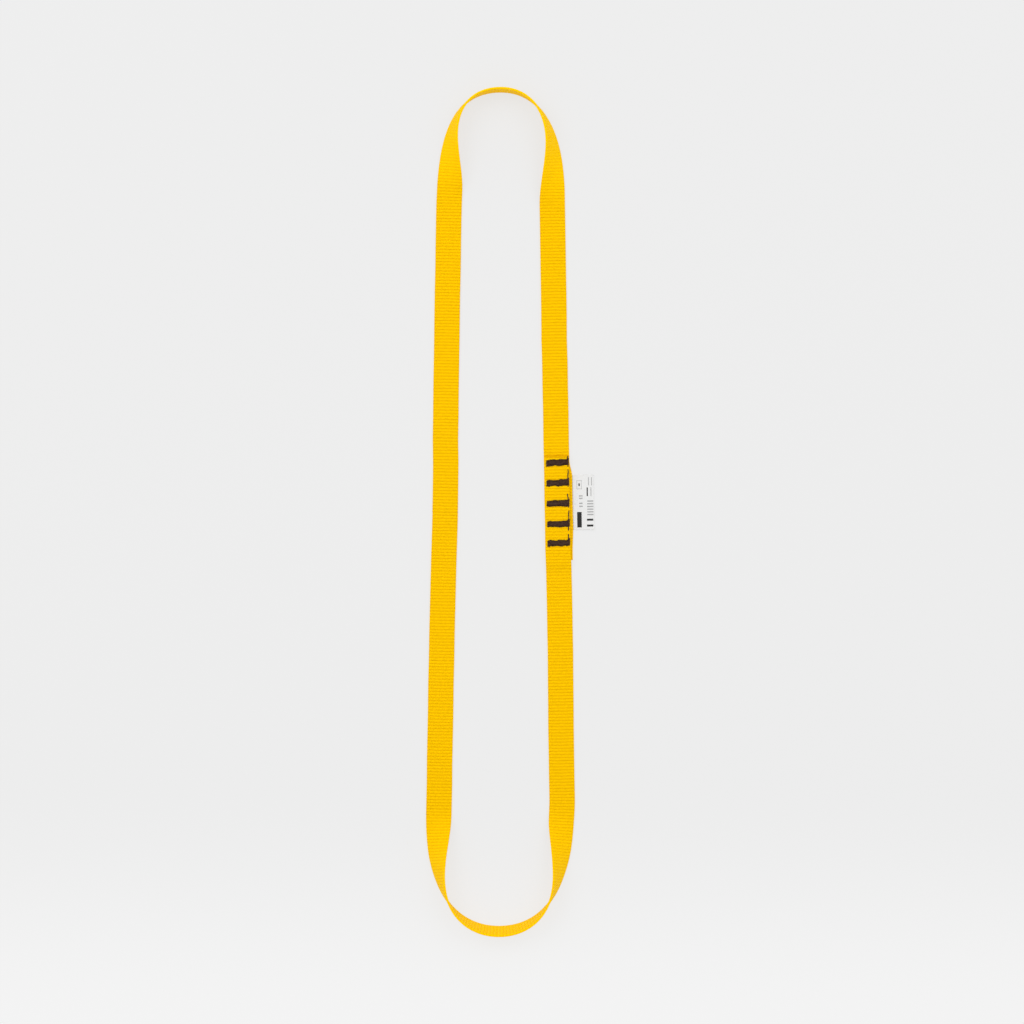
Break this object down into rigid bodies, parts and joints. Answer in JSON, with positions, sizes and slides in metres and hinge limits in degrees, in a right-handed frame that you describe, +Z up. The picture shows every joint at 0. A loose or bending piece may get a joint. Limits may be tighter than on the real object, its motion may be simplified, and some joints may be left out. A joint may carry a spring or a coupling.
{
  "type": "sewn webbing sling",
  "caption": "Endless sling of flat woven webbing, laid out as a long loop with upright ends, closed by a bar-tacked lap joint that holds a folded label.",
  "frame": {"origin": "middle of the underside, on the surface that the sling lies on, half way along its length and half way across its width with the label", "axes": "+Y along the sling towards the top end, +X across it towards the side with the lap and the label, +Z up from the surface"},
  "size_m": [0.1125, 0.5631, 0.0171],
  "materials": {
    "webbing": "satin",
    "thread": "matte",
    "label": "matte"
  },
  "bodies": {
    "middle": {"webbing_left_strand": "webbing", "lap_back_layer": "webbing", "lap_front_layer": "webbing", "bar_tack_1": "thread", "bar_tack_2": "thread", "bar_tack_3": "thread", "bar_tack_4": "thread", "bar_tack_5": "thread", "bobbin_thread_1": "thread", "bobbin_thread_2": "thread", "bobbin_thread_3": "thread", "bobbin_thread_4": "thread", "bobbin_thread_5": "thread", "jump_threads": "thread", "label_root_tab": "label"},
    "top_loop": {"webbing_top_loop": "webbing"},
    "bottom_loop": {"webbing_bottom_loop": "webbing"},
    "label": {"label_flap": "label"}
  },
  "joints": [
    {"name": "top_fold", "type": "hinge", "parent": "middle", "child": "top_loop", "pos_m": [-0.00652, 0.142, 0.0016], "axis": [1, 0, 0], "range_deg": [0, 165]},
    {"name": "bottom_fold", "type": "hinge", "parent": "middle", "child": "bottom_loop", "pos_m": [-0.00652, -0.142, 0.0016], "axis": [-1, 0, 0], "range_deg": [0, 165]},
    {"name": "label_fold", "type": "hinge", "parent": "middle", "child": "label", "pos_m": [0.04187, 0.00634, 0.00056], "axis": [0.0166, -0.9999, 0], "range_deg": [0, 105]}
  ]
}
